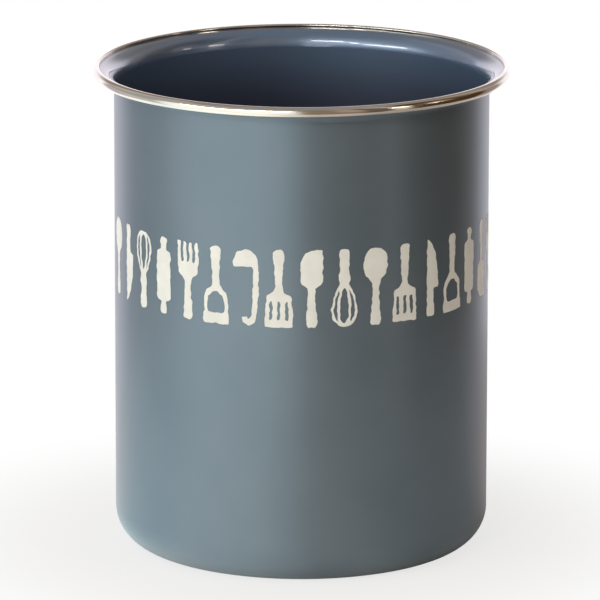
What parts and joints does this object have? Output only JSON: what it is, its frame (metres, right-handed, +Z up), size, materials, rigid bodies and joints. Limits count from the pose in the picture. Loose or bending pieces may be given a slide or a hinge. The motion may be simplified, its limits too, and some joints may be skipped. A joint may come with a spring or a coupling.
{
  "type": "utensil holder",
  "caption": "Open cylindrical can of enamelled steel with a rounded foot, a lip flared outward and a bright steel band round the rim, for standing kitchen utensils in.",
  "frame": {"origin": "centre of the ring that the can stands on, at the level of the surface under it", "axes": "+Z up along the can's axis; the can is round, so X and Y are free, and the print faces -Y"},
  "size_m": [0.1306, 0.1304, 0.152],
  "materials": {
    "enamelled_steel": "slate blue-grey enamel, satin outside and glossy inside",
    "stainless_trim": "bright rolled stainless steel"
  },
  "bodies": {
    "root": {"body": "enamelled_steel", "rim_band": "stainless_trim"}
  },
  "joints": []
}
